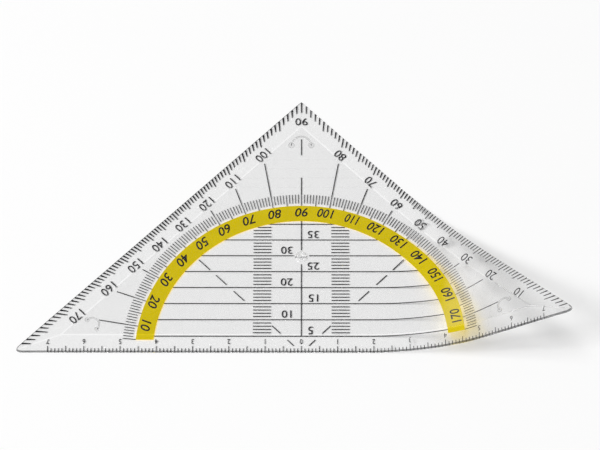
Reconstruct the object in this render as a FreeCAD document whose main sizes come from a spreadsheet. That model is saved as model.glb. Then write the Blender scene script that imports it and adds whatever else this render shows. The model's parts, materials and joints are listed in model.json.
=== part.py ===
import FreeCAD, Part
import math
import os
import Sketcher

# Flexible drafting set square with a protractor, in millimetres.
# The origin is the zero mark on the ruling edge, at mid height of that edge. +X runs
# along the ruling edge, +Y points to the right-angled corner and +Z is up.
# The sheet is one thin moulding that bends like a spring. Each bend is modelled by
# narrow strips that turn about lines across a corner, at mid thickness. All print is
# a thin film on the underside, which three small feet hold off the desk.

doc = FreeCAD.newDocument("SetSquare")
Vector = FreeCAD.Vector
Placement = FreeCAD.Placement
Rotation = FreeCAD.Rotation

# Driving dimensions
SIZES = {
    # sheet
    "half_edge": 80.0,
    "sheet_thick": 1.2,
    "edge_thick": 0.6,
    "corner_round": 1.0,
    "leg_bevel": 6.1,
    "rule_bevel": 5.0,
    # feet on the underside, placed from the corners of the sheet
    "foot_high": 0.3,
    "ridge_wide": 0.4,
    "side_nub_radius": 0.65,
    "side_ridge_radius": 2.0,
    "side_foot_inset": 22.1,
    "side_foot_rise": 8.5,
    "top_nub_radius": 0.85,
    "top_ridge_radius": 2.83,
    "top_foot_inset": 14.45,
    # moulding gate on the underside
    "gate_rise": 29.5,
    "gate_radius": 1.8,
    "gate_deep": 0.25,
    "stub_radius": 0.5,
    "stub_high": 0.15,
    # bends
    "side_ruling_angle": 78.0,
    "top_bend_inset": 28.4,
    "bend_clear": 1.2,
    "raised_angle": 33.0,
    "strip_gap": 0.3,
    # ink
    "ink_thick": 0.05,
    "ink_margin": 0.15,
    "line_wide": 0.25,
    "tick_wide": 0.2,
    # ruler along the long edge
    "ruler_pitch": 1.0,
    "ruler_inset": 10.0,
    "ruler_short": 1.3,
    "ruler_long": 2.0,
    # degree ticks along the legs
    "leg_short": 1.9,
    "leg_long": 2.6,
    # protractor circle, its rays and the coloured band
    "circle_inset": 7.07,
    "arc_short": 2.8,
    "arc_long": 3.6,
    "band_wide": 4.9,
    "band_rise": 3.9,
    "ray_foot_clear": 0.35,
    "middle_ray_low": 5.5,
    "middle_ray_high": 12.8,
    "middle_ray_inset": 12.5,
    # parallels, ladder and diagonals
    "parallel_pitch": 5.0,
    "gate_clear": 0.4,
    "rung_start": 8.4,
    "rung_long": 5.0,
    "dash_start": 2.0,
    "dash_short": 1.7,
    "dash_long": 3.15,
    "dash_clear": 0.4,
}

SIDE_JOINTS = 5
TOP_JOINTS = 3
FIRST_ARC_DEGREE = 5
LONG_EVERY = 5  # each fifth tick of a scale is long
RAY_STEP = 10  # degrees between two rays
REACH = 4.0  # length of a cutting block, in half edges
OVERRUN = 1.0  # how far a bevel's cut goes past the sheet

sizes = doc.addObject("Spreadsheet::Sheet", "Sizes")
for row, (alias, number) in enumerate(SIZES.items(), start=1):
    sizes.set(f"A{row}", alias)
    sizes.set(f"B{row}", str(number))
    sizes.setAlias(f"B{row}", alias)
doc.recompute()


def size(alias):
    return float(sizes.get(alias))


half = size("half_edge")
edge_top = size("edge_thick") / 2
underside = -edge_top
mid_height = size("sheet_thick") / 2 - edge_top
leg_distance = half / math.sqrt(2)
circle_radius = leg_distance - size("circle_inset")
band_outer = circle_radius - size("arc_long")
band_inner = band_outer - size("band_wide")


# Sketch helpers
def new_sketch(body, name, role, turn=0.0, shift=("0", "0", "0")):
    """A sketch on one of the body's own origin planes, moved by three expressions."""
    sketch = body.newObject("Sketcher::SketchObject", name)
    plane = next(f for f in body.Origin.OriginFeatures if f.Role == role)
    sketch.AttachmentSupport = [(plane, "")]
    sketch.MapMode = "FlatFace"
    sketch.AttachmentOffset = Placement(Vector(), Rotation(Vector(0, 1, 0), turn))
    for axis, expression in zip("xyz", shift):
        sketch.setExpression(f"AttachmentOffset.Base.{axis}", expression)
    return sketch


def hold(sketch, kind, element, expression, point=None):
    """One dimension of the sketch, bound to an expression."""
    now = float(sketch.evalExpression(expression))
    if point is None:
        index = sketch.addConstraint(Sketcher.Constraint(kind, element, now))
    else:
        index = sketch.addConstraint(Sketcher.Constraint(kind, -1, 1, element, point, now))
    sketch.setExpression(f"Constraints[{index}]", expression)


def hold_point(sketch, element, point, place):
    hold(sketch, "DistanceX", element, place[0], point)
    hold(sketch, "DistanceY", element, place[1], point)


def spot(sketch, place):
    return Vector(*(float(sketch.evalExpression(e)) for e in place), 0)


def add_polygon(sketch, corners):
    """A closed outline whose corners are pairs of expressions."""
    points = [spot(sketch, corner) for corner in corners]
    count = len(points)
    for index in range(count):
        sketch.addGeometry(Part.LineSegment(points[index], points[(index + 1) % count]), False)
    for index, corner in enumerate(corners):
        after = (index + 1) % count
        sketch.addConstraint(Sketcher.Constraint("Coincident", index, 2, after, 1))
        hold_point(sketch, index, 1, corner)


def add_circle(sketch, centre, radius):
    """A full circle with its centre and radius given by expressions."""
    now = float(sketch.evalExpression(radius))
    index = sketch.addGeometry(Part.Circle(spot(sketch, centre), Vector(0, 0, 1), now), False)
    hold_point(sketch, index, 3, centre)
    hold(sketch, "Radius", index, radius)


def add_half_ring(sketch, centre, radius, wide, start):
    """Half a flat ring that starts at an angle in degrees and runs half a turn."""
    middle = spot(sketch, centre)
    first = math.radians(start)
    arcs = []
    for sign in (1, -1):
        expression = f"{radius} {'+' if sign > 0 else '-'} {wide} / 2"
        now = float(sketch.evalExpression(expression))
        whole = Part.Circle(middle, Vector(0, 0, 1), now)
        index = sketch.addGeometry(Part.ArcOfCircle(whole, first, first + math.pi), False)
        hold_point(sketch, index, 3, centre)
        hold(sketch, "Radius", index, expression)
        arcs.append((index, now))
    for point, angle in ((1, first), (2, first + math.pi)):
        along = Vector(math.cos(angle), math.sin(angle), 0)
        ends = [middle + along * now for _, now in arcs]
        line = sketch.addGeometry(Part.LineSegment(*ends), False)
        sketch.addConstraint(Sketcher.Constraint("Coincident", line, 1, arcs[0][0], point))
        sketch.addConstraint(Sketcher.Constraint("Coincident", line, 2, arcs[1][0], point))
        sketch.addConstraint(Sketcher.Constraint("Angle", line, angle + math.pi))


def pad(body, sketch, name, length, down=False):
    feature = body.newObject("PartDesign::Pad", name)
    feature.Profile = sketch
    feature.Reversed = down
    feature.setExpression("Length", length)
    return feature


# The whole sheet, flat
def make_sheet():
    body = doc.addObject("PartDesign::Body", "WholeSheet")
    body.AllowCompound = False

    outline = new_sketch(body, "Outline", "XY_Plane", shift=("0", "0", "-Sizes.edge_thick / 2"))
    add_polygon(
        outline,
        [
            ("-Sizes.half_edge", "0"),
            ("Sizes.half_edge", "0"),
            ("0", "Sizes.half_edge"),
        ],
    )
    plate = pad(body, outline, "Plate", "Sizes.sheet_thick")
    doc.recompute()

    upright = [
        f"Edge{number}"
        for number, edge in enumerate(plate.Shape.Edges, start=1)
        if abs(edge.tangentAt(edge.FirstParameter).z) > 0.99
    ]
    corners = body.newObject("PartDesign::Fillet", "Corners")
    corners.Base = (plate, upright)
    corners.setExpression("Radius", "Sizes.corner_round")

    # each bevel is cut by a profile that looks along its own edge
    top = "Sizes.sheet_thick - Sizes.edge_thick / 2"
    edges = [
        ("RuleBevel", 0, ("0", "0", "0"), "Sizes.rule_bevel"),
        ("RightBevel", 135, ("Sizes.half_edge / 2", "0", "Sizes.half_edge / 2"), "Sizes.leg_bevel"),
        ("LeftBevel", -135, ("Sizes.half_edge / 2", "0", "-Sizes.half_edge / 2"), "Sizes.leg_bevel"),
    ]
    for name, turn, shift, width in edges:
        profile = new_sketch(body, f"{name}Profile", "YZ_Plane", turn, shift)
        add_polygon(
            profile,
            [
                ("0", "Sizes.edge_thick / 2"),
                (width, top),
                (width, f"{top} + {OVERRUN}"),
                (f"-{OVERRUN}", f"{top} + {OVERRUN}"),
                (f"-{OVERRUN}", "Sizes.edge_thick / 2"),
            ],
        )
        bevel = body.newObject("PartDesign::Pocket", name)
        bevel.Profile = profile
        bevel.SideType = "Symmetric"
        bevel.setExpression("Length", "4 * Sizes.half_edge")

    # two round nubs and a half ring make each foot
    side = "(Sizes.half_edge - Sizes.side_foot_inset)"
    feet = [
        ((side, "Sizes.side_foot_rise"), 45, "side"),
        ((f"-{side}", "Sizes.side_foot_rise"), -45, "side"),
        (("0", "Sizes.half_edge - Sizes.top_foot_inset"), 0, "top"),
    ]
    below = ("0", "0", "-Sizes.edge_thick / 2")
    ridges = new_sketch(body, "RidgeProfile", "XY_Plane", shift=below)
    nubs = new_sketch(body, "NubProfile", "XY_Plane", shift=below)
    for centre, start, kind in feet:
        radius = f"Sizes.{kind}_ridge_radius"
        add_half_ring(ridges, centre, radius, "Sizes.ridge_wide", start)
        for angle in (start, start + 180):
            place = (
                f"{centre[0]} + {radius} * cos({angle} deg)",
                f"{centre[1]} + {radius} * sin({angle} deg)",
            )
            add_circle(nubs, place, f"Sizes.{kind}_nub_radius")
    pad(body, ridges, "Ridges", "Sizes.foot_high", down=True)
    pad(body, nubs, "Nubs", "Sizes.foot_high", down=True)

    dimple_profile = new_sketch(body, "GateProfile", "XY_Plane", shift=below)
    add_circle(dimple_profile, ("0", "Sizes.gate_rise"), "Sizes.gate_radius")
    dimple = body.newObject("PartDesign::Pocket", "Gate")
    dimple.Profile = dimple_profile
    dimple.Reversed = True
    dimple.setExpression("Length", "Sizes.gate_deep")
    floor = ("0", "0", "-Sizes.edge_thick / 2 + Sizes.gate_deep")
    stub_profile = new_sketch(body, "StubProfile", "XY_Plane", shift=floor)
    add_circle(stub_profile, ("0", "Sizes.gate_rise"), "Sizes.stub_radius")
    pad(body, stub_profile, "Stub", "Sizes.stub_high", down=True)
    doc.recompute()
    return body


def check_sheet(body):
    """Every cut and pad has to change the volume the way it should."""
    before = 0.0
    for feature in body.Group:
        if feature.TypeId in ("PartDesign::Pad", "PartDesign::Pocket", "PartDesign::Fillet"):
            change = feature.Shape.Volume - before
            grows = feature.TypeId == "PartDesign::Pad"
            if (change > 0) != grows:
                raise RuntimeError(f"{feature.Name} changed the volume by {change:.4f}")
            before = feature.Shape.Volume


# Bends
class Corner:
    """Lines across one corner of the sheet that it bends about."""

    def __init__(self, name, outward, start, end, joints, bend):
        self.name = name
        self.outward = outward
        self.axis = outward.cross(Vector(0, 0, 1))
        self.pitch = (end - start) / joints
        self.lines = [start + self.pitch * (k + 0.5) for k in range(joints)]
        self.step = bend / joints

    def pose(self, index):
        """Where the piece beyond line number index lies: each line turns it one more step."""
        place = Placement()
        for distance in self.lines[: index + 1]:
            centre = self.outward * distance + Vector(0, 0, mid_height)
            place = place * Placement(Vector(), Rotation(self.axis, self.step), centre)
        return place

    def piece_name(self, index):
        last = index == len(self.lines) - 1
        return f"{self.name}_tip" if last else f"{self.name}_strip_{index + 1}"

    def spans(self):
        """The near and far limits of each piece, measured outward, with the gaps taken off."""
        gap = size("strip_gap") / 2
        far = [line - gap for line in self.lines[1:]] + [REACH * half]
        return list(zip([line + gap for line in self.lines], far))


def side_corner(name, sign, bend):
    """The bend starts on the leg where the top corner's bend starts, and ends at the foot."""
    slant = math.radians(size("side_ruling_angle"))
    outward = Vector(sign * math.sin(slant), -math.cos(slant), 0)
    first = Vector(sign * size("top_bend_inset"), half - size("top_bend_inset"), 0)
    foot = Vector(sign * (half - size("side_foot_inset")), size("side_foot_rise"), 0)
    end = outward.dot(foot) - size("side_ridge_radius")
    end -= size("side_nub_radius") + size("bend_clear")
    return Corner(name, outward, outward.dot(first), end, SIDE_JOINTS, bend)


def top_corner():
    start = half - size("top_bend_inset")
    end = half - size("top_foot_inset") - size("top_ridge_radius")
    end -= size("top_nub_radius") + size("bend_clear")
    return Corner("top_corner", Vector(0, 1, 0), start, end, TOP_JOINTS, 0.0)


right = side_corner("right_corner", 1, size("raised_angle"))
left = side_corner("left_corner", -1, 0.0)
top = top_corner()


def new_block(name, corner, near, far):
    """A block across the sheet between two distances from the origin."""
    block = doc.addObject("Part::Box", name)
    block.Length = far - near
    block.setExpression("Width", f"{REACH} * Sizes.half_edge")
    block.setExpression("Height", "Sizes.half_edge")
    turn = Rotation(Vector(1, 0, 0), corner.outward)
    base = turn.multVec(Vector(near, -REACH * half / 2, -half / 2))
    block.Placement = Placement(base, turn)
    return block


def cut(name, base, tool):
    feature = doc.addObject("Part::Cut", name)
    feature.Base = base
    feature.Tool = tool
    return feature


def common(name, base, tool):
    feature = doc.addObject("Part::Common", name)
    feature.Base = base
    feature.Tool = tool
    return feature


parts = []


def finish_part(feature, label, place=None):
    """Name a sub-part, put it where it lies and list it for export."""
    feature.Label = label
    if place is not None:
        feature.Placement = place
    parts.append(feature)


class Cutter:
    """The blocks that divide the sheet, and any film under it, into its pieces."""

    def __init__(self):
        gap = size("strip_gap") / 2
        self.beyond = {
            c.name: new_block(f"{c.name}_beyond", c, c.lines[0] - gap, REACH * half)
            for c in (right, left, top)
        }
        self.blocks = {
            (c.name, index): new_block(f"{c.name}_block_{index + 1}", c, near, far)
            for c in (right, left, top)
            for index, (near, far) in enumerate(c.spans())
        }

    def divide(self, whole, stem, centre_label, label_end, corners):
        """Cut a flat object into its centre and the pieces of the given corners."""
        lower = cut(f"{stem}_lower", whole, self.beyond["top_corner"])
        middle = cut(f"{stem}_middle", lower, self.beyond["right_corner"])
        centre = cut(f"{stem}_centre", middle, self.beyond["left_corner"])
        finish_part(centre, centre_label)
        for corner in corners:
            source = whole if corner is top else lower
            for index in range(len(corner.lines)):
                name = corner.piece_name(index)
                piece = common(f"{stem}_{name}", source, self.blocks[corner.name, index])
                doc.recompute([piece], True)
                if piece.Shape.Volume > 0:
                    finish_part(piece, name + label_end, corner.pose(index))


# Coloured band
def make_band():
    """Half a flat ring of film that stops level above the ruling edge."""
    rings = []
    for name, radius in (("BandOuter", band_outer), ("BandInner", band_inner)):
        disc = doc.addObject("Part::Cylinder", name)
        disc.Radius = radius
        disc.setExpression("Height", "Sizes.ink_thick")
        disc.Placement.Base = Vector(0, 0, underside - size("ink_thick"))
        rings.append(disc)
    ring = cut("BandRing", *rings)
    above = doc.addObject("Part::Box", "BandLimit")
    above.setExpression("Length", "2 * Sizes.half_edge")
    above.setExpression("Width", "Sizes.half_edge")
    above.setExpression("Height", "2 * Sizes.sheet_thick")
    above.Placement.Base = Vector(-half, size("band_rise"), -size("sheet_thick"))
    return common("Band", ring, above)


# Black print: every mark is a flat outline with four corners
def bar(start, end, wide):
    """A straight mark between two points."""
    across = (end - start).normalize().cross(Vector(0, 0, 1)) * (wide / 2)
    return [start + across, end + across, end - across, start - across]


def polar(radius, degrees):
    angle = math.radians(degrees)
    return Vector(radius * math.cos(angle), radius * math.sin(angle), 0)


def meet(start, along, normal, distance):
    """The point where a line through start meets a straight edge."""
    return start + along * ((distance - normal.dot(start)) / normal.dot(along))


def ruler_marks():
    marks = []
    pitch = size("ruler_pitch")
    last = int((half - size("ruler_inset")) / pitch + 1e-6)
    for number in range(-last, last + 1):
        reach = size("ruler_long") if number % LONG_EVERY == 0 else size("ruler_short")
        at = number * pitch
        foot, head = Vector(at, size("ink_margin"), 0), Vector(at, reach, 0)
        marks.append(bar(foot, head, size("tick_wide")))
    return marks


def slanted_tick(degrees, normal, distance, deep):
    """A tick on a ray from the origin, with its ends parallel to the edge that it starts at."""
    along = polar(1, degrees)
    across = along.cross(Vector(0, 0, 1)) * (size("line_wide") / 2)
    return [
        meet(across, along, normal, distance - size("ink_margin")),
        meet(across, along, normal, distance - deep),
        meet(-across, along, normal, distance - deep),
        meet(-across, along, normal, distance - size("ink_margin")),
    ]


def leg_marks():
    marks = []
    normal = polar(1, 45)
    rounded = size("corner_round") / math.tan(math.radians(45 / 2))
    for degrees in range(1, 90):
        deep = size("leg_long") if degrees % LONG_EVERY == 0 else size("leg_short")
        start = meet(Vector(), polar(1, degrees), normal, leg_distance)
        side_room = (start - Vector(half, 0, 0)).Length
        top_room = (start - Vector(0, half, 0)).Length
        if min(side_room - rounded, top_room - size("corner_round")) < 0:
            continue
        marks.append(slanted_tick(degrees, normal, leg_distance, deep))
        marks.append(slanted_tick(180 - degrees, polar(1, 135), leg_distance, deep))
    lost = size("corner_round") * (math.sqrt(2) - 1)
    deep = size("leg_long") * math.sqrt(2)
    marks.append(slanted_tick(90, Vector(0, 1, 0), half - lost, deep - lost))
    return marks


def arc_marks():
    marks = []
    for degrees in range(FIRST_ARC_DEGREE, 181 - FIRST_ARC_DEGREE):
        deep = size("arc_long") if degrees % LONG_EVERY == 0 else size("arc_short")
        ends = polar(circle_radius - deep, degrees), polar(circle_radius, degrees)
        marks.append(bar(*ends, size("tick_wide")))
    return marks


def ray_marks():
    """Rays from the circle out to the labels. One that meets a foot's ridge stops short of it."""
    marks = []
    wide = size("line_wide")
    foot = Vector(half - size("side_foot_inset"), size("side_foot_rise"), 0)
    for degrees in range(RAY_STEP, 90, RAY_STEP):
        end = circle_radius / math.cos(math.radians(degrees - 45))
        along = polar(1, degrees)
        aside = (foot - along * along.dot(foot)).Length
        if aside < size("side_ridge_radius"):
            ridge = along.dot(foot) - math.sqrt(size("side_ridge_radius") ** 2 - aside**2)
            end = min(end, ridge - size("ridge_wide") / 2 - size("ray_foot_clear"))
        if end - circle_radius > 2 * wide:
            for angle in (degrees, 180 - degrees):
                marks.append(bar(polar(circle_radius, angle), polar(end, angle), wide))
    low = circle_radius + size("middle_ray_low")
    high = circle_radius + size("middle_ray_high")
    last = half - size("middle_ray_inset")
    for near, far in ((circle_radius, low), (high, last)):
        if far - near > wide:
            marks.append(bar(Vector(0, near, 0), Vector(0, far, 0), wide))
    return marks


def gate_half_gap(rise):
    """Half the length that the gate takes out of a line at this height."""
    clear = size("gate_radius") + size("gate_clear")
    away = abs(rise - size("gate_rise"))
    return math.sqrt(clear**2 - away**2) if away < clear else 0.0


def parallel_rises():
    pitch = size("parallel_pitch")
    last = int((band_inner - size("line_wide")) / pitch)
    return [pitch * number for number in range(1, last + 1)]


def parallel_marks():
    """Level lines that end on the inner edge of the band."""
    marks = []
    wide = size("line_wide") / 2
    for rise in parallel_rises():
        low, high = (math.sqrt(band_inner**2 - (rise + w) ** 2) for w in (-wide, wide))
        gap = gate_half_gap(rise)
        right_end = Vector(low, rise - wide, 0), Vector(high, rise + wide, 0)
        left_end = Vector(-high, rise + wide, 0), Vector(-low, rise - wide, 0)
        if gap > 0:
            inner = Vector(gap, rise + wide, 0), Vector(gap, rise - wide, 0)
            marks.append([*right_end, *inner])
            inner = Vector(-gap, rise - wide, 0), Vector(-gap, rise + wide, 0)
            marks.append([*left_end, *inner])
        else:
            marks.append([*right_end, *left_end])
    return marks


def rung_marks():
    """Short lines between the parallels, like two ladders."""
    marks = []
    pitch = size("ruler_pitch")
    wide = size("line_wide")
    rises = parallel_rises()
    near = size("rung_start")
    for number in range(int(rises[0] / pitch), int(rises[-1] / pitch) + 1):
        rise = number * pitch
        room = math.sqrt(band_inner**2 - (rise + wide / 2) ** 2)
        far = min(near + size("rung_long"), room)
        taken = any(abs(rise - line) < wide for line in rises)
        if taken or far - near < wide:
            continue
        for sign in (1, -1):
            start, end = Vector(sign * near, rise, 0), Vector(sign * far, rise, 0)
            marks.append(bar(start, end, wide))
    return marks


def middle_marks():
    """The middle line, in lengths between the parallels and clear of the gate."""
    marks = []
    wide = size("line_wide")
    stops = parallel_rises() + [band_inner + wide / 2]
    low_gate = size("gate_rise") - size("gate_radius") - size("gate_clear")
    high_gate = size("gate_rise") + size("gate_radius") + size("gate_clear")
    for low, high in zip(stops, stops[1:]):
        low, high = low + wide / 2, high - wide / 2
        for start, end in ((low, min(high, low_gate)), (max(low, high_gate), high)):
            if end - start > wide / 2:
                marks.append(bar(Vector(0, start, 0), Vector(0, end, 0), wide))
    return marks


def dash_marks():
    """Dashes along both diagonals, one in each space that the ladders leave free."""
    clear = size("dash_clear")
    spans = [(size("dash_start"), size("dash_start") + size("dash_short"))]
    ladder = size("rung_start") - clear, size("rung_start") + size("rung_long") + clear
    rises = parallel_rises()
    for line, following in zip(rises, rises[1:]):
        start = line + clear
        end = min(start + size("dash_long"), following - clear)
        end = min(end, band_inner / math.sqrt(2) - clear)
        if start < ladder[0]:
            end = min(end, ladder[0])
        elif start < ladder[1]:
            start = max(start, ladder[1])
        if end - start > size("line_wide") * 2:
            spans.append((start, end))
    marks = []
    for near, far in spans:
        for sign in (1, -1):
            start, end = Vector(sign * near, near, 0), Vector(sign * far, far, 0)
            marks.append(bar(start, end, size("line_wide")))
    return marks


def clip(outline, normal, limit):
    """The part of a convex outline where normal times point is at most limit."""
    kept = []
    for here, after in zip(outline, outline[1:] + outline[:1]):
        over_here, over_after = normal.dot(here) - limit, normal.dot(after) - limit
        if over_here <= 0:
            kept.append(here)
        if over_here * over_after < 0:
            kept.append(here + (after - here) * (over_here / (over_here - over_after)))
    return kept


def film(outline):
    """A thin solid under the sheet with this outline."""
    down = Vector(0, 0, underside)
    points = [point + down for point in outline]
    face = Part.Face(Part.makePolygon(points + points[:1]))
    return face.extrude(Vector(0, 0, -size("ink_thick")))


def area(outline):
    return Part.Face(Part.makePolygon(outline + outline[:1])).Area if len(outline) > 2 else 0.0


def add_print(label, marks, limits, place=None):
    """All marks that lie inside the limits, as one sub-part of separate films."""
    films = []
    for outline in marks:
        for normal, limit in limits:
            outline = clip(outline, normal, limit) if outline else outline
        if area(outline) > 1e-3:
            films.append(film(outline))
    if films:
        feature = doc.addObject("Part::Feature", label)
        feature.Shape = Part.Compound(films)
        finish_part(feature, label, place)


def make_print():
    groups = {
        "ruler_ticks": ruler_marks(),
        "leg_degree_ticks": leg_marks(),
        "arc_degree_ticks": arc_marks(),
        "ray_lines": ray_marks(),
        "parallel_lines": parallel_marks(),
        "ladder_rungs": rung_marks(),
        "middle_line": middle_marks(),
        "diagonal_dashes": dash_marks(),
    }
    gap = size("strip_gap") / 2
    inside = {c.name: (c.outward, c.lines[0] - gap) for c in (right, left, top)}
    for label, marks in groups.items():
        add_print(label, marks, list(inside.values()))
    every_mark = [outline for marks in groups.values() for outline in marks]
    for corner in (right, left, top):
        for index, (near, far) in enumerate(corner.spans()):
            limits = [(corner.outward, far), (-corner.outward, -near)]
            if corner is not top:
                limits.append(inside["top_corner"])
            label = f"{corner.piece_name(index)}_print"
            add_print(label, every_mark, limits, corner.pose(index))


whole_sheet = make_sheet()
check_sheet(whole_sheet)
cutter = Cutter()
cutter.divide(whole_sheet, "sheet", "sheet_centre", "", (right, left, top))
cutter.divide(make_band(), "band", "band_centre", "_band", (right, left))
make_print()
doc.recompute()

for item in doc.Objects:
    if "Invalid" in item.State or "Error" in item.State:
        raise RuntimeError(f"{item.Name} has failed: {item.State}")
for part in parts:
    if part.Shape.isNull() or not part.Shape.isValid() or part.Shape.Volume <= 0:
        raise RuntimeError(f"{part.Label} has no valid shape")

os.makedirs("parts", exist_ok=True)
for part in parts:
    part.Shape.exportStep(f"parts/{part.Label}.step")
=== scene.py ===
import json
import math

import bmesh
import bpy
from mathutils import Matrix, Vector


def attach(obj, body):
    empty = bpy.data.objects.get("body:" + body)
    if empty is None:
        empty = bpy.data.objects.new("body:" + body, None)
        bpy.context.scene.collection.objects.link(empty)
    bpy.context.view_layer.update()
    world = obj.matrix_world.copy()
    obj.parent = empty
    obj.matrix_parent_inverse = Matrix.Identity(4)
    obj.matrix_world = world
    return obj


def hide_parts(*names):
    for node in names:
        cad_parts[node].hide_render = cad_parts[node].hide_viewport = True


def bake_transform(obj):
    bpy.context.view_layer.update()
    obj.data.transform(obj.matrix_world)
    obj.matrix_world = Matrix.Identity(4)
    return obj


# Flexible drafting set square. Shapes are drawn flat in millimetres, cut across the
# bends, curled up where a corner is raised, and only then scaled to metres. The origin
# is the 0 of the ruling edge, x runs along that edge, and y points at the top corner.
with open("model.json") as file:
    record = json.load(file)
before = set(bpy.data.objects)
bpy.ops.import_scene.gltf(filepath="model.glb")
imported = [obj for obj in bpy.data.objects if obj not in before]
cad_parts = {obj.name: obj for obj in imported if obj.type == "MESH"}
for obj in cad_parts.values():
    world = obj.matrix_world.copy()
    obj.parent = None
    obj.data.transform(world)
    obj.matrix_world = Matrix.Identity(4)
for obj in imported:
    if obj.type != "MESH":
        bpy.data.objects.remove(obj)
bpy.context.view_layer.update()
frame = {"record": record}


def spot(x, y):
    return Vector((x, y, 0))


def polar(radius, degrees):
    angle = math.radians(degrees)
    return spot(radius * math.cos(angle), radius * math.sin(angle))


MM = 0.001
UP = Vector((0, 0, 1))
TO_RULE = spot(0, -1)
TO_TOP = spot(0, 1)
TO_RIGHT_LEG = polar(1, 45)
TO_LEFT_LEG = polar(1, 135)

# How near two points are one: for a cut, for a clean-up and for finding points
CUT = 1e-6
TINY = 1e-5
NEAR = 1e-4

# Sheet. HALF is half of the ruling edge and also the reach up to the top corner, both to
# the sharp corners, and LEG is how far each leg lies from the origin. UNDERSIDE, TOP,
# EDGE_TOP and MIDDLE are heights, and the sheet bends about MIDDLE.
HALF = 80.0
LEG = HALF / math.sqrt(2)
UNDERSIDE = -0.3
TOP = 0.9
EDGE_TOP = 0.3
MIDDLE = 0.3
TOP_ROUND = 1.0
SIDE_ROUND = 2.95
RULE_BEVEL = 5.0
LEG_BEVEL = 6.1
CREASE_WIDE = 0.45
LIP_ROUND = 0.36
SHEET_SMOOTH = 4
DETAIL_SMOOTH = 40

# Feet: a half ring with a nub at each end. A row of FEET gives the centre, how far it is
# turned, and the radius of the ring and of a nub.
FOOT_HIGH = 0.3
FOOT_SINK = 0.2
FOOT_ROUND = 0.1
RIDGE_WIDE = 0.4
NUB_ROUND = 0.15
SIDE_FOOT = spot(57.9, 8.5)
SIDE_RIDGE = 2.0
SIDE_NUB = 0.65
TOP_FOOT = spot(0, 65.55)
TOP_RIDGE = 2.83
TOP_NUB = 0.85
FEET = [
    (SIDE_FOOT, 45, SIDE_RIDGE, SIDE_NUB),
    (spot(-SIDE_FOOT.x, SIDE_FOOT.y), -45, SIDE_RIDGE, SIDE_NUB),
    (TOP_FOOT, 0, TOP_RIDGE, TOP_NUB),
]

# Moulding gate: a shallow recess with a stub in it. GATE_OUTLINE is in shares of its
# radius and depth, and STUB_OUTLINE in shares of its radius and height.
GATE = spot(0, 29.5)
GATE_RADIUS = 1.8
GATE_DEEP = 0.25
GATE_OUTLINE = ((1.0, 0.0), (0.9, 0.45), (0.7, 0.85), (0.45, 1.0))
GATE_OVERCUT = 0.5
STUB_RADIUS = 0.5
STUB_HIGH = 0.15
STUB_OUTLINE = ((1.2, 0.3), (0.7, 0.85), (0.0, 1.0))

# Print, on the underside. Two lengths of a tick are for each fifth mark and for the rest.
INK_TOP = -0.31
INK_THICK = 0.018
BAND_TOP = -0.334
BAND_THICK = 0.014
LINE = 0.25
TICK = 0.2
MARGIN = 0.15
CIRCLE = LEG - 7.07
BAND_OUTER = CIRCLE - 3.6
BAND_INNER = BAND_OUTER - 4.9
BAND_RISE = 3.9
RULER_END = 70
RULER_TICKS = (2.0, 1.3)
LEG_TICKS = (2.6, 1.9)
ARC_TICKS = (3.6, 2.8)
RIGHT_FLARE = 1.4
LEFT_FLARE = 2.0
RAY_CLEAR = 0.55
TOP_RAY = ((CIRCLE, CIRCLE + 5.5), (CIRCLE + 12.8, HALF - 12.5))
PARALLELS = range(5, 41, 5)
GATE_CLEAR = 0.4
RUNGS = (8.4, 13.4)
MIDDLE_GAP = (27.3, 31.7)
DASHES = [(2.1, 3.85), (5.75, 8.15), (15.85, 18.85), (20.85, 23.85), (25.5, 28.7)]

# Figures: where each kind stands, its height, and how it is narrowed or slanted
RULER_LABEL = 3.35
RULER_FIGURE = {"high": 1.5, "narrow": 0.85}
LEG_LABEL = LEG - 4.8
LEG_FIGURE = {"high": 2.5, "narrow": 0.97}
TOP_LABEL = 73.3
TOP_FIGURE = {"high": 2.4, "narrow": 1.08}
BAND_LABEL = (BAND_OUTER + BAND_INNER) / 2
BAND_FIGURE = {"high": 2.8, "weight": 0.014, "slant": 0.2}
SHIFT_CIRCLE = 43
PLATE_LABEL = 1.75
PLATE_FIGURE = {"high": 2.3, "narrow": 1.08}
FIRST_ASIDE, FIVES_ASIDE, TENS_ASIDE = 2.6, 3.35, -4.1

# Bends. RULING_ANGLE is between the ruling edge and the lines of a side corner, and
# RAISED is how far the right corner is curled at rest.
RULING_ANGLE = 78.0
BEND_START = spot(28.4, 51.6)
BEND_CLEAR = 1.2
RAISED = 33.0
SIDE_JOINTS = 5
TOP_JOINTS = 3
FOLDS = 4

# Kinds of surface on the sheet, in the order of its materials. CLEAR is the underside and the
# rounded creases, whose light lines are a painted highlight, and RIM's dark tint is a painted
# shade.
PLATE, SLOPE, CLEAR, RIM, MOULDED, MATT = range(6)

# Room, light and camera, in metres. The shade of a slope deepens as it rises over the
# paper by SHADE_RISE. FOCAL and CENTRE are in the photograph's pixels.
SHADE_RISE = (0.0025, 0.008)
FLOOR_HALF = 3.0
FLOOR_GAP = 0.00001
SKY = 0.22
WINDOW = Vector((-0.567, 0.598, 0.567))
WINDOW_EDGE = (12, 4)
WINDOW_GLOSS = 1.5
WALL_GLOSS = 0.04
LAMP_AIM = Vector((0, 0.03, 0))
PICTURE = (600, 450)
FOCAL = 3111.9
CENTRE = (301.31, 240.11)
CAMERA_RISE = 62.14
CAMERA_AWAY = 0.87398
CAMERA_AIM = Vector((0, 0.035, 0))


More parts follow.
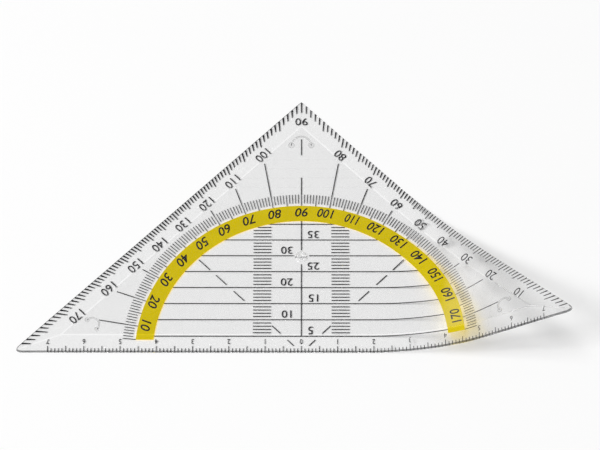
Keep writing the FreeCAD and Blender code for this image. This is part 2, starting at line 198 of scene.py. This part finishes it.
class Corner:
    """A corner of the sheet, the bodies along it, and the lines where it bends."""

    def __init__(self, name, outward, start, end, joints, bend):
        self.name = name
        self.outward = outward
        self.axis = outward.cross(UP)
        self.start = start
        self.pitch = (end - start) / joints
        self.joints = joints
        self.bend = bend
        self.bodies = ["sheet"] + [f"{name}_{k}" for k in range(1, joints)] + [f"{name}_tip"]

    def border(self, index):
        """Where the bending zone with this number starts."""
        return self.start + self.pitch * index

    def folds(self):
        """Close lines that share the bend evenly, in pairs of distance and angle."""
        if not self.bend:
            return []
        count = self.joints * FOLDS
        space = self.pitch / FOLDS
        turn = math.radians(self.bend / count)
        return [(self.start + space * (k + 0.5), turn) for k in range(count)]

    def middle(self, distance):
        """The middle of the flat sheet at this distance."""
        return self.outward * distance + UP * MIDDLE

    def curled(self, distance):
        """Where the middle of the sheet at this distance ends up, once curled."""
        point = self.middle(distance)
        for fold, turn in reversed(self.folds()):
            if fold < distance - CUT:
                centre = self.middle(fold)
                point = centre + Matrix.Rotation(turn, 3, self.axis) @ (point - centre)
        return point


def side(name, sign, bend):
    """A side corner, which bends along slanted lines up to just before its foot."""
    slant = math.radians(RULING_ANGLE)
    outward = spot(sign * math.sin(slant), -math.cos(slant))
    start = outward.dot(spot(sign * BEND_START.x, BEND_START.y))
    foot = outward.dot(spot(sign * SIDE_FOOT.x, SIDE_FOOT.y))
    end = foot - SIDE_RIDGE - SIDE_NUB - BEND_CLEAR
    return Corner(name, outward, start, end, SIDE_JOINTS, bend)


top_end = TOP_FOOT.y - TOP_RIDGE - TOP_NUB - BEND_CLEAR
corners = (
    side("right", 1, RAISED),
    side("left", -1, 0.0),
    Corner("top", TO_TOP, BEND_START.y, top_end, TOP_JOINTS, 0.0),
)


# Working on meshes
def everything(bm):
    return bm.verts[:] + bm.edges[:] + bm.faces[:]


def kinds_at(edge):
    return {face.material_index for face in edge.link_faces}


def points_in(done):
    return [v for v in done["geom"] if isinstance(v, bmesh.types.BMVert)]


def placed(name, data):
    """A new object in the scene."""
    thing = bpy.data.objects.new(name, data)
    bpy.context.scene.collection.objects.link(thing)
    return thing


def bevel(bm, edges, offset, segments, by="OFFSET", material=-1, clamp=False):
    bmesh.ops.bevel(
        bm, geom=edges, offset=offset, offset_type=by, affect="EDGES",
        segments=segments, profile=0.5, material=material, clamp_overlap=clamp,
    )


def trim(bm, point, normal, lid=0):
    """Cut away what lies beyond a plane and close the cut with a lid of one material."""
    done = bmesh.ops.bisect_plane(
        bm, geom=everything(bm), dist=CUT, plane_co=point, plane_no=normal, clear_outer=True
    )
    edges = [e for e in done["geom_cut"] if isinstance(e, bmesh.types.BMEdge)]
    edges = [e for e in edges if e.is_boundary]
    if edges:
        made = bmesh.ops.edgeloop_fill(bm, edges=edges, mat_nr=lid)
        for face in made["faces"]:
            if face.normal.dot(normal) < 0:
                face.normal_flip()


def curl(bm, corner):
    """Bend a flat mesh up, the outermost fold first."""
    out = corner.outward
    folds = corner.folds()
    for distance, _ in folds:
        bmesh.ops.bisect_plane(
            bm, geom=everything(bm), dist=CUT, plane_co=out * distance, plane_no=out
        )
    for distance, turn in reversed(folds):
        beyond = [v for v in bm.verts if out.dot(v.co) > distance + NEAR]
        bmesh.ops.rotate(
            bm, verts=beyond, cent=corner.middle(distance),
            matrix=Matrix.Rotation(turn, 3, corner.axis),
        )


def show(bm, name, materials, smooth=None):
    """Make the finished piece, in metres. Folds finer than smooth degrees look round, and
    so does every curve of the moulded details."""
    bmesh.ops.scale(bm, vec=(MM, MM, MM), verts=bm.verts)
    if smooth:
        for face in bm.faces:
            face.smooth = True
        for edge in bm.edges:
            kinds = kinds_at(edge)
            limit = DETAIL_SMOOTH if kinds in ({MOULDED}, {MATT}) else smooth
            edge.smooth = len(kinds) == 1 and edge.calc_face_angle(0) < math.radians(limit)
    mesh = bpy.data.meshes.new(name)
    bm.to_mesh(mesh)
    bm.free()
    for material in materials:
        mesh.materials.append(material)
    piece = placed(name, mesh)
    return piece


def dress(whole, stem, materials, nodes, smooth=None):
    """Cut a flat layer into a centre, bending zones and tips, and hang the centre and each tip
    on its body; a zone is baked where it lies and hung on none. The last material closes the
    cuts. A zone stands for the nodes of the body beyond it."""
    lid = len(materials) - 1
    centre = whole.copy()
    for corner in corners:
        trim(centre, corner.outward * corner.start, corner.outward, lid)
    if centre.faces:
        piece = show(centre, f"{stem}_centre", materials, smooth)
        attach(piece, "sheet")
        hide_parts(*nodes("sheet"))
    for corner in corners:
        out = corner.outward
        for index in range(corner.joints + 1):
            last = index == corner.joints
            part = whole.copy()
            trim(part, out * corner.border(index), -out, lid)
            if not last:
                trim(part, out * corner.border(index + 1), out, lid)
            if not part.faces:
                part.free()
                continue
            curl(part, corner)
            name = f"{stem}_{corner.name}_{'tip' if last else index + 1}"
            piece = show(part, name, materials, smooth)
            if last:
                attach(piece, corner.bodies[-1])
            else:
                before, after = corner.bodies[index], corner.bodies[index + 1]
                start, end = (corner.curled(corner.border(k)) for k in (index, index + 1))
                start * MM
                end * MM
                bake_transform(piece)
                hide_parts(*nodes(after))


def combined(bm, steps, materials):
    """The mesh after boolean steps with other meshes."""
    helpers = []

    def helper(source):
        mesh = bpy.data.meshes.new("helper")
        source.to_mesh(mesh)
        source.free()
        for material in materials:
            mesh.materials.append(material)
        helpers.append(placed("helper", mesh))
        return helpers[-1]

    base = helper(bm)
    for operation, other in steps:
        step = base.modifiers.new(operation, "BOOLEAN")
        step.operation = operation
        step.solver = "EXACT"
        step.object = helper(other)
    graph = bpy.context.evaluated_depsgraph_get()
    result = bmesh.new()
    result.from_mesh(base.evaluated_get(graph).to_mesh())
    for thing in helpers:
        bpy.data.objects.remove(thing)
    return result


def turned(bm, outline, centre, steps, start=0.0, sweep=360.0):
    """Turn an outline of radius and height about an upright axis."""
    along = polar(1, start)
    verts = [bm.verts.new(centre + along * radius + UP * z) for radius, z in outline]
    face = bm.faces.new(verts)
    bmesh.ops.spin(
        bm, geom=[*verts, *face.edges, face], cent=centre, axis=UP,
        angle=math.radians(sweep), steps=steps, use_merge=sweep >= 360, use_duplicate=False,
    )


# Clear sheet
def is_upright(edge):
    start, end = (v.co for v in edge.verts)
    return abs((start - end).normalized().z) > 0.9


def slab():
    """The triangle with its corners rounded and its three edges sloped."""
    bm = bmesh.new()
    verts = [bm.verts.new((x, y, UNDERSIDE)) for x, y in ((-HALF, 0), (HALF, 0), (0, HALF))]
    raised = bmesh.ops.extrude_face_region(bm, geom=[bm.faces.new(verts)])
    bmesh.ops.translate(bm, verts=points_in(raised), vec=UP * (TOP - UNDERSIDE))
    bmesh.ops.recalc_face_normals(bm, faces=bm.faces)
    for face in bm.faces:
        face.material_index = PLATE if abs(face.normal.z) > 0.5 else RIM
    upright = [e for e in bm.edges if is_upright(e)]
    side_corners = [e for e in upright if e.verts[0].co.y < HALF / 2]
    top_corner = [e for e in upright if e.verts[0].co.y > HALF / 2]
    bevel(bm, side_corners, SIDE_ROUND, segments=6, clamp=True)
    bevel(bm, top_corner, TOP_ROUND, segments=6, clamp=True)
    slopes = [
        (spot(0, 0), TO_RULE, RULE_BEVEL),
        (spot(HALF / 2, HALF / 2), TO_RIGHT_LEG, LEG_BEVEL),
        (spot(-HALF / 2, HALF / 2), TO_LEFT_LEG, LEG_BEVEL),
    ]
    for point, out, wide in slopes:
        normal = (out * (TOP - EDGE_TOP) + UP * wide).normalized()
        trim(bm, point + UP * EDGE_TOP, normal, SLOPE)
    bmesh.ops.recalc_face_normals(bm, faces=bm.faces)
    return bm


def round_off(bm):
    """Round the creases and lips. Only the ruling edge and the left leg keep a rim, whose dark
    tint is a painted shade along those two edges; the right leg's lips and all upright walls
    take the slope's tint.
    """
    creases = [e for e in bm.edges if kinds_at(e) in ({PLATE, SLOPE}, {SLOPE})]
    # The rounded creases take the clearest tint and so show as light lines, a painted
    # highlight.
    bevel(bm, creases, CREASE_WIDE, segments=2, by="WIDTH", material=CLEAR)
    lips = [e for e in bm.edges if kinds_at(e) in ({SLOPE, RIM}, {CLEAR, RIM})]
    bevel(bm, lips, LIP_ROUND, segments=2, material=RIM)
    bm.normal_update()
    for face in bm.faces:
        way = face.normal
        if way.z < -0.9:
            face.material_index = CLEAR
        # The right leg's lips and all upright walls lose the rim's painted shade and take the
        # slope's tint.
        elif face.material_index == RIM and (abs(way.z) < 0.1 or min(way.x, way.y) > 0.3):
            face.material_index = SLOPE


def foot_ridges():
    bm = bmesh.new()
    low = UNDERSIDE - FOOT_HIGH
    half = RIDGE_WIDE / 2
    for centre, start, radius, _ in FEET:
        outline = [
            (radius + half, UNDERSIDE + FOOT_SINK), (radius - half, UNDERSIDE + FOOT_SINK),
            (radius - half, low + FOOT_ROUND), (radius - half * 0.5, low),
            (radius + half * 0.5, low), (radius + half, low + FOOT_ROUND),
        ]
        turned(bm, outline, centre, steps=20, start=start, sweep=180)
    bmesh.ops.recalc_face_normals(bm, faces=bm.faces)
    return bm


def foot_nubs():
    bm = bmesh.new()
    low = UNDERSIDE - FOOT_HIGH
    tall = FOOT_HIGH + FOOT_SINK
    for centre, start, radius, nub in FEET:
        for angle in (start, start + 180):
            middle = centre + polar(radius, angle) + UP * (low + tall / 2)
            cone = bmesh.ops.create_cone(
                bm, cap_ends=True, segments=20, radius1=nub, radius2=nub,
                depth=tall, matrix=Matrix.Translation(middle),
            )
            edges = dict.fromkeys(e for v in cone["verts"] for e in v.link_edges)
            foot = [e for e in edges if all(v.co.z < low + NEAR for v in e.verts)]
            bevel(bm, foot, NUB_ROUND, segments=3, clamp=True)
    return bm


def gate_recess():
    """What is cut away for the recess, around its stub."""
    bm = bmesh.new()
    below = UNDERSIDE - GATE_OVERCUT
    floor = UNDERSIDE + GATE_DEEP
    outline = [
        (0.0, below), (GATE_RADIUS, below),
        *((GATE_RADIUS * r, UNDERSIDE + GATE_DEEP * z) for r, z in GATE_OUTLINE),
        *((STUB_RADIUS * r, floor - STUB_HIGH * z) for r, z in STUB_OUTLINE),
    ]
    turned(bm, outline, GATE, steps=40)
    bmesh.ops.remove_doubles(bm, verts=bm.verts, dist=TINY)
    bmesh.ops.recalc_face_normals(bm, faces=bm.faces)
    return bm


def clear_sheet(materials):
    """The moulding, with one kind of surface for each of its faces."""
    bm = slab()
    round_off(bm)
    steps = []
    for operation, detail, kind in (
        ("UNION", foot_ridges(), MOULDED),
        ("UNION", foot_nubs(), MOULDED),
        ("DIFFERENCE", gate_recess(), MATT),
    ):
        for face in detail.faces:
            face.material_index = kind
        steps.append((operation, detail))
    bm = combined(bm, steps, materials)
    bmesh.ops.remove_doubles(bm, verts=bm.verts, dist=NEAR)
    bmesh.ops.dissolve_degenerate(bm, edges=bm.edges, dist=TINY)
    return bm


# Print
def thicken(bm, faces):
    """Turn flat faces up and give them the thickness of the ink, downwards."""
    for face in faces:
        if face.normal.z < 0:
            face.normal_flip()
    done = bmesh.ops.extrude_face_region(bm, geom=faces, use_keep_orig=True)
    bmesh.ops.translate(bm, verts=points_in(done), vec=-UP * INK_THICK)


def film(bm, outline):
    """A thin flat mark with this outline."""
    face = bm.faces.new([bm.verts.new((p.x, p.y, INK_TOP)) for p in outline])
    face.normal_update()
    thicken(bm, [face])


def bar(bm, start, end, wide):
    across = (end - start).normalized().cross(UP) * (wide / 2)
    film(bm, [start + across, end + across, end - across, start - across])


def length_of(ticks, number):
    return ticks[0] if number % 5 == 0 else ticks[1]


def ruler_ticks(bm):
    for number in range(-RULER_END, RULER_END + 1):
        reach = length_of(RULER_TICKS, number)
        bar(bm, spot(number, MARGIN), spot(number, reach), TICK)


def meet(start, along, normal, distance):
    """Where a line crosses the one at this distance along normal."""
    return start + along * ((distance - normal.dot(start)) / normal.dot(along))


def slanted_tick(bm, degrees, normal, distance, deep, flare):
    """A tick along a ray, wider at the edge of the sheet."""
    along = polar(1, degrees)
    across = along.cross(UP) * (LINE / 2)
    outer = across * flare
    film(bm, [
        meet(outer, along, normal, distance - MARGIN),
        meet(across, along, normal, distance - deep),
        meet(-across, along, normal, distance - deep),
        meet(-outer, along, normal, distance - MARGIN),
    ])


def leg_ticks(bm):
    for degrees in range(2, 90):
        deep = length_of(LEG_TICKS, degrees)
        slanted_tick(bm, degrees, TO_RIGHT_LEG, LEG, deep, RIGHT_FLARE)
        slanted_tick(bm, 180 - degrees, TO_LEFT_LEG, LEG, deep, LEFT_FLARE)
    lost = TOP_ROUND * (math.sqrt(2) - 1)
    deep = LEG_TICKS[0] * math.sqrt(2) - lost
    slanted_tick(bm, 90, TO_TOP, HALF - lost, deep, RIGHT_FLARE)


def arc_ticks(bm):
    for degrees in range(5, 176):
        deep = length_of(ARC_TICKS, degrees)
        bar(bm, polar(CIRCLE - deep, degrees), polar(CIRCLE, degrees), TICK)


def rays(bm):
    """Lines from the protractor to a line along each leg, or to just before a foot."""
    for degrees in (10, 20, 30, 60, 70, 80):
        end = CIRCLE / math.cos(math.radians(degrees - 45))
        along = polar(1, degrees)
        aside = (SIDE_FOOT - along * along.dot(SIDE_FOOT)).length
        if aside < SIDE_RIDGE:
            end = along.dot(SIDE_FOOT) - math.sqrt(SIDE_RIDGE**2 - aside**2) - RAY_CLEAR
        for angle in (degrees, 180 - degrees):
            bar(bm, polar(CIRCLE, angle), polar(end, angle), LINE)
    for start, end in TOP_RAY:
        bar(bm, spot(0, start), spot(0, end), LINE)


def room_at(rise):
    """Half the width inside the band at this height."""
    return math.sqrt(BAND_INNER**2 - rise**2)


def gate_gap(rise):
    clear = GATE_RADIUS + GATE_CLEAR
    away = abs(rise - GATE.y)
    return math.sqrt(clear**2 - away**2) if away < clear else 0.0


def parallels(bm):
    for rise in PARALLELS:
        gap = gate_gap(rise)
        low, high = rise - LINE / 2, rise + LINE / 2
        for sign in (1, -1):
            film(bm, [
                spot(sign * gap, low), spot(sign * room_at(low), low),
                spot(sign * room_at(high), high), spot(sign * gap, high),
            ])


def rungs(bm):
    near, far = RUNGS
    for rise in range(PARALLELS[0], PARALLELS[-1]):
        end = min(far, room_at(rise + LINE / 2))
        if rise in PARALLELS or end - near <= LINE:
            continue
        for sign in (1, -1):
            bar(bm, spot(sign * near, rise), spot(sign * end, rise), LINE)


def middle_line(bm):
    """It stops at the parallels, which it would cover, and at the gate."""
    stops = [*PARALLELS, BAND_INNER + LINE / 2]
    for low, high in zip(stops, stops[1:]):
        low, high = low + LINE / 2, high - LINE / 2
        for start, end in ((low, min(high, MIDDLE_GAP[0])), (max(low, MIDDLE_GAP[1]), high)):
            if end - start > LINE / 2:
                bar(bm, spot(0, start), spot(0, end), LINE)


def dashes(bm):
    for near, far in DASHES:
        for sign in (1, -1):
            bar(bm, spot(sign * near, near), spot(sign * far, far), LINE)


def numeral(bm, text, centre, upright, high, weight=0.0, narrow=1.0, slant=0.0):
    """Plain figures, centred on a point, with their tops towards upright."""
    curve = bpy.data.curves.new("figures", "FONT")
    curve.body = text
    curve.size = 1.0
    curve.shear = slant
    curve.offset = weight
    curve.resolution_u = 3
    thing = placed("figures", curve)
    bpy.context.view_layer.update()
    graph = bpy.context.evaluated_depsgraph_get()
    mesh = bpy.data.meshes.new_from_object(thing.evaluated_get(graph))
    bpy.data.objects.remove(thing)
    flat = bmesh.new()
    flat.from_mesh(mesh)
    bmesh.ops.remove_doubles(flat, verts=flat.verts, dist=NEAR)
    xs = [v.co.x for v in flat.verts]
    ys = [v.co.y for v in flat.verts]
    middle = spot((min(xs) + max(xs)) / 2, (min(ys) + max(ys)) / 2)
    scale = high / (max(ys) - min(ys))
    turn = math.atan2(-upright.x, upright.y)
    place = (
        Matrix.Translation((centre.x, centre.y, INK_TOP))
        @ Matrix.Rotation(turn, 4, "Z")
        @ Matrix.Diagonal((scale * narrow, scale, 1, 1))
        @ Matrix.Translation(-middle)
    )
    bmesh.ops.transform(flat, matrix=place, verts=flat.verts)
    thicken(flat, flat.faces[:])
    flat.to_mesh(mesh)
    flat.free()
    bm.from_mesh(mesh)
    bpy.data.meshes.remove(mesh)


def band_shift(degrees):
    """How far a figure on the band stands aside, on a circle of SHIFT_CIRCLE, and out from
    its middle, and how narrow it is."""
    if degrees <= 90:
        return 0.6 * min(1, (90 - degrees) / 50), 0.35, 1.0
    return -0.8 if degrees < 120 else -1.25, 0.5, 0.75 if degrees == 110 else 0.88


def figures(bm):
    for number in range(-RULER_END, RULER_END + 1, 10):
        place = spot(number, RULER_LABEL)
        numeral(bm, str(abs(number) // 10), place, TO_RULE, **RULER_FIGURE)
    for degrees in range(10, 90, 10):
        place = polar(LEG_LABEL / math.cos(math.radians(degrees - 45)), degrees)
        numeral(bm, str(degrees), place, -TO_RIGHT_LEG, **LEG_FIGURE)
        place = spot(-place.x, place.y)
        numeral(bm, str(180 - degrees), place, -TO_LEFT_LEG, **LEG_FIGURE)
    numeral(bm, "90", spot(0, TOP_LABEL), TO_RULE, **TOP_FIGURE)
    for degrees in range(10, 180, 10):
        aside, out, narrow = band_shift(degrees)
        turn = math.degrees(aside / SHIFT_CIRCLE)
        place = polar(BAND_LABEL + out, 180 - degrees - turn)
        numeral(bm, str(degrees), place, -place.normalized(), narrow=narrow, **BAND_FIGURE)
    for rise in range(5, 36, 5):
        across = FIVES_ASIDE if rise % 10 else TENS_ASIDE
        if rise == 5:
            across = FIRST_ASIDE
        numeral(bm, str(rise), spot(across, rise + PLATE_LABEL), TO_RULE, **PLATE_FIGURE)


def black_print():
    bm = bmesh.new()
    for draw in (
        ruler_ticks, leg_ticks, arc_ticks, rays, parallels, rungs, middle_line, dashes, figures,
    ):
        draw(bm)
    bmesh.ops.recalc_face_normals(bm, faces=bm.faces)
    return bm


def yellow_band():
    bm = bmesh.new()
    outline = [
        (BAND_INNER, BAND_TOP), (BAND_OUTER, BAND_TOP),
        (BAND_OUTER, BAND_TOP - BAND_THICK), (BAND_INNER, BAND_TOP - BAND_THICK),
    ]
    turned(bm, outline, spot(0, 0), steps=180, sweep=180)
    bmesh.ops.recalc_face_normals(bm, faces=bm.faces)
    trim(bm, spot(0, BAND_RISE), TO_RULE)
    return bm


# Materials
class Wire:
    """A socket that can be used in sums."""

    def __init__(self, nodes, socket):
        self.nodes = nodes
        self.socket = socket

    def sum(self, operation, other):
        return self.nodes.add("ShaderNodeMath", {"operation": operation}, {0: self, 1: other})

    def __add__(self, other):
        return self.sum("ADD", other)

    __radd__ = __add__

    def __mul__(self, other):
        return self.sum("MULTIPLY", other)

    __rmul__ = __mul__


class Nodes:
    """The node tree of one material, or of the world."""

    def __init__(self, holder):
        holder.use_nodes = True
        self.tree = holder.node_tree
        self.tree.nodes.clear()

    def add(self, kind, settings=None, sockets=None, output=0):
        """Any node, its settings first, then the values or links of its sockets."""
        node = self.tree.nodes.new(kind)
        for name, value in (settings or {}).items():
            setattr(node, name, value)
        for name, value in (sockets or {}).items():
            if isinstance(value, Wire):
                self.tree.links.new(value.socket, node.inputs[name])
            else:
                node.inputs[name].default_value = value
        return Wire(self, node.outputs[output]) if node.outputs else None

    def noise(self, scale, detail, stretch=(1, 1, 1)):
        here = self.add("ShaderNodeTexCoord", output="Object")
        here = self.add("ShaderNodeMapping", None, {"Vector": here, "Scale": stretch})
        sockets = {"Vector": here, "Scale": scale, "Detail": detail}
        return self.add("ShaderNodeTexNoise", None, sockets, "Fac")

    def step(self, value, low, high, bottom=0.0, top=1.0):
        """A smooth rise from bottom to top as value goes from low to high."""
        settings = {"interpolation_type": "SMOOTHSTEP"}
        return self.add("ShaderNodeMapRange", settings, {
            "Value": value, "From Min": low, "From Max": high, "To Min": bottom, "To Max": top,
        })

    def blend(self, share, first, second):
        """One colour turning into another."""
        sockets = {0: share, 6: (*first, 1), 7: (*second, 1)}
        return self.add("ShaderNodeMix", {"data_type": "RGBA"}, sockets, 2)

    def bump(self, height, strength, distance):
        sockets = {"Height": height, "Strength": strength, "Distance": distance}
        return self.add("ShaderNodeBump", None, sockets)

    def principled(self, sockets):
        return self.add("ShaderNodeBsdfPrincipled", None, sockets)

    def clear(self, *colour):
        """Light goes straight through and takes this colour."""
        return self.add("ShaderNodeBsdfTransparent", None, {"Color": (*colour, 1)})

    def glow(self, strength):
        sockets = {"Color": (1, 1, 1, 1), "Strength": strength}
        return self.add("ShaderNodeBackground", None, sockets)

    def ray(self, kind):
        return self.add("ShaderNodeLightPath", output=kind)

    def mix(self, share, otherwise, then):
        return self.add("ShaderNodeMixShader", None, {0: share, 1: otherwise, 2: then})

    def finish(self, surface):
        self.add("ShaderNodeOutputMaterial", None, {"Surface": surface})


def started(name):
    material = bpy.data.materials.new(name)
    return material, Nodes(material)


def clear_plastic(name, tint, lit, raised_lit=None, swirl_deep=0.05, rough=0.015, leak=0.0):
    """Clear plastic. tint is what shows through it, lit is the light that reaches the paper
    below it, and raised_lit is the same where that face stands well above the paper. leak is
    the share of the light inside that gets out where the sheet touches paper or ink."""
    material, n = started(name)
    swirl = n.noise(90.0, 2.0)
    scuff = n.step(n.noise(260.0, 3.0, (1, 14, 1)), 0.62, 0.78)
    plastic = n.principled({
        "Base Color": n.blend(swirl, tint, [0.99 * c for c in tint]),
        "Roughness": rough + scuff * 0.12,
        "IOR": 1.49,
        "Transmission Weight": 1.0,
        "Normal": n.bump(swirl * 0.6 + scuff * 0.02, swirl_deep, 0.001),
    })
    if leak:
        plastic = n.mix(leak, plastic, n.clear(1, 1, 1))
    through = n.clear(lit, lit, lit)
    shade = through
    if raised_lit:
        high = n.step(n.ray("Ray Length"), *SHADE_RISE)
        shade = n.mix(high, through, n.clear(raised_lit, raised_lit, raised_lit))
    seen = n.mix(n.ray("Is Diffuse Ray"), plastic, through)
    n.finish(n.mix(n.ray("Is Shadow Ray"), seen, shade))
    return material


def open_seam():
    """The faces where two pieces of the sheet meet, which nobody sees."""
    material, n = started("open_seam")
    n.finish(n.clear(1, 1, 1))
    return material


def black_ink():
    material, n = started("black_ink")
    worn = n.step(n.noise(900.0, 4.0), 0.45, 0.75)
    n.finish(n.principled({
        "Base Color": n.blend(worn, (0.012, 0.012, 0.014), (0.05, 0.05, 0.055)),
        "Roughness": 0.4 + worn * 0.25,
        "Specular IOR Level": 0.1,
        "Normal": n.bump(worn, 0.1, 0.0001),
    }))
    return material


def yellow_ink():
    """A thin ink that lets some coloured light through to the paper."""
    material, n = started("yellow_ink")
    uneven = n.step(n.noise(160.0, 5.0), 0.3, 0.7)
    grain = n.noise(2500.0, 2.0)
    ink = n.principled({
        "Base Color": n.blend(uneven, (0.75, 0.588, 0.0015), (0.72, 0.563, 0.001)),
        "Roughness": 0.45 + grain * 0.2,
        "Specular IOR Level": 0.05,
        "Normal": n.bump(grain, 0.08, 0.0001),
    })
    n.finish(n.mix(n.ray("Is Shadow Ray"), ink, n.clear(0.98, 0.85, 0.3)))
    return material


def white_paper():
    material, n = started("paper")
    n.finish(n.principled({
        "Base Color": n.blend(n.noise(6.0, 3.0), (0.972, 0.972, 0.972), (0.98, 0.98, 0.98)),
        "Roughness": 0.9,
        "Specular IOR Level": 0.1,
    }))
    return material


# The sheet's materials in the order of the kinds of surface, then the one for its cuts. The
# underside and the creases are the clearest, so that the tint of the top counts once, and the
# rounded creases show as light lines: a painted highlight.
plastics = [
    clear_plastic("clear_plate", (0.79, 0.79, 0.79), 0.98),
    clear_plastic("clear_slope", (0.86, 0.86, 0.86), 0.98, raised_lit=0.62),
    # Underside and creases: on the creases this clear tint is a painted highlight.
    clear_plastic("clear_underside", (0.995, 0.995, 0.995), 0.985, swirl_deep=0.012, leak=0.4),
    # Dark rim: a painted shade along the ruling edge and the left leg.
    clear_plastic("rim_painted_shade", (0.1, 0.1, 0.102), 0.9, raised_lit=0.5),
    # The feet's tint, darker than the underside's, is a painted shade for their dark rings.
    clear_plastic("clear_moulding", (0.82, 0.82, 0.82), 0.95, swirl_deep=0.0),
    clear_plastic("clear_gate_mark", (0.99, 0.99, 0.99), 0.98, swirl_deep=0.0, rough=0.6),
    open_seam(),
]
black = black_ink()
yellow = yellow_ink()

# The CAD nodes of each layer on each body
members = frame["record"]["behaviour"]["bodies"]


def is_band(node):
    return node.endswith("_band") or node == "band_centre"


def is_plastic(node):
    starts = ("sheet_centre", "right_corner", "left_corner", "top_corner")
    return node.startswith(starts) and not node.endswith(("_print", "_band"))


def plastic_nodes(body):
    return [m for m in members[body] if is_plastic(m)]


def band_nodes(body):
    return [m for m in members[body] if is_band(m)]


def print_nodes(body):
    return [m for m in members[body] if not is_plastic(m) and not is_band(m)]


dress(clear_sheet(plastics), "plate", plastics, plastic_nodes, SHEET_SMOOTH)
dress(yellow_band(), "band", [yellow], band_nodes)
dress(black_print(), "print", [black], print_nodes)


# Floor, light and camera
def lay_floor():
    bm = bmesh.new()
    bmesh.ops.create_grid(bm, x_segments=1, y_segments=1, size=FLOOR_HALF)
    bmesh.ops.translate(
        bm, verts=bm.verts, vec=(0, 0, (UNDERSIDE - FOOT_HIGH) * MM - FLOOR_GAP)
    )
    mesh = bpy.data.meshes.new("floor")
    bm.to_mesh(mesh)
    bm.free()
    mesh.materials.append(white_paper())
    placed("floor", mesh)


def light_room():
    """White to the camera, grey through the plastic, and in its gloss dark walls and one
    small bright window behind on the left."""
    world = bpy.data.worlds.new("studio")
    bpy.context.scene.world = world
    n = Nodes(world)
    way = n.add("ShaderNodeTexCoord", output="Generated")
    sockets = {0: way, 1: WINDOW.normalized()}
    facing = n.add("ShaderNodeVectorMath", {"operation": "DOT_PRODUCT"}, sockets, "Value")
    window = n.step(facing, *(math.cos(math.radians(edge)) for edge in WINDOW_EDGE))
    height = n.add("ShaderNodeSeparateXYZ", None, {"Vector": way}, "Z")
    walls = n.step(height, 0.1, 0.6, bottom=0.25, top=0.5)
    gloss = n.glow(WALL_GLOSS + window * WINDOW_GLOSS)
    room = n.mix(n.ray("Is Glossy Ray"), n.glow(SKY), gloss)
    room = n.mix(n.ray("Is Transmission Ray"), room, n.glow(walls))
    room = n.mix(n.ray("Is Camera Ray"), room, n.glow(1.0))
    n.add("ShaderNodeOutputWorld", None, {"Surface": room})


def point(thing, way):
    thing.rotation_mode = "QUATERNION"
    thing.rotation_quaternion = way.to_track_quat("-Z", "Y")


def lamp(name, place, wide, power):
    """A square lamp, which shows in no gloss."""
    light = bpy.data.lights.new(name, "AREA")
    light.size = wide
    light.energy = power
    thing = placed(name, light)
    thing.location = place
    thing.visible_glossy = False
    point(thing, LAMP_AIM - Vector(place))


def set_camera():
    camera = bpy.data.cameras.new("camera")
    camera.sensor_width = 36.0
    camera.lens = FOCAL / PICTURE[0] * camera.sensor_width
    camera.clip_start = 0.05
    camera.clip_end = 20
    eye = placed("camera", camera)
    rise = math.radians(CAMERA_RISE)
    back = Vector((0, -math.cos(rise), math.sin(rise)))
    upward = Vector((0, math.sin(rise), math.cos(rise)))
    eye.location = CAMERA_AIM + back * CAMERA_AWAY
    aside = Vector((1, 0, 0)) * ((PICTURE[0] / 2 - CENTRE[0]) / FOCAL)
    point(eye, -back + aside + upward * ((CENTRE[1] - PICTURE[1] / 2) / FOCAL))
    bpy.context.scene.camera = eye


lay_floor()
light_room()
lamp("overhead", (-1.9, 0.4, 7.7), 2.2, 232.0)
lamp("left", (-5.6, -1.4, 5.6), 2.4, 410.0)
set_camera()
bpy.context.scene.view_settings.view_transform = "Standard"
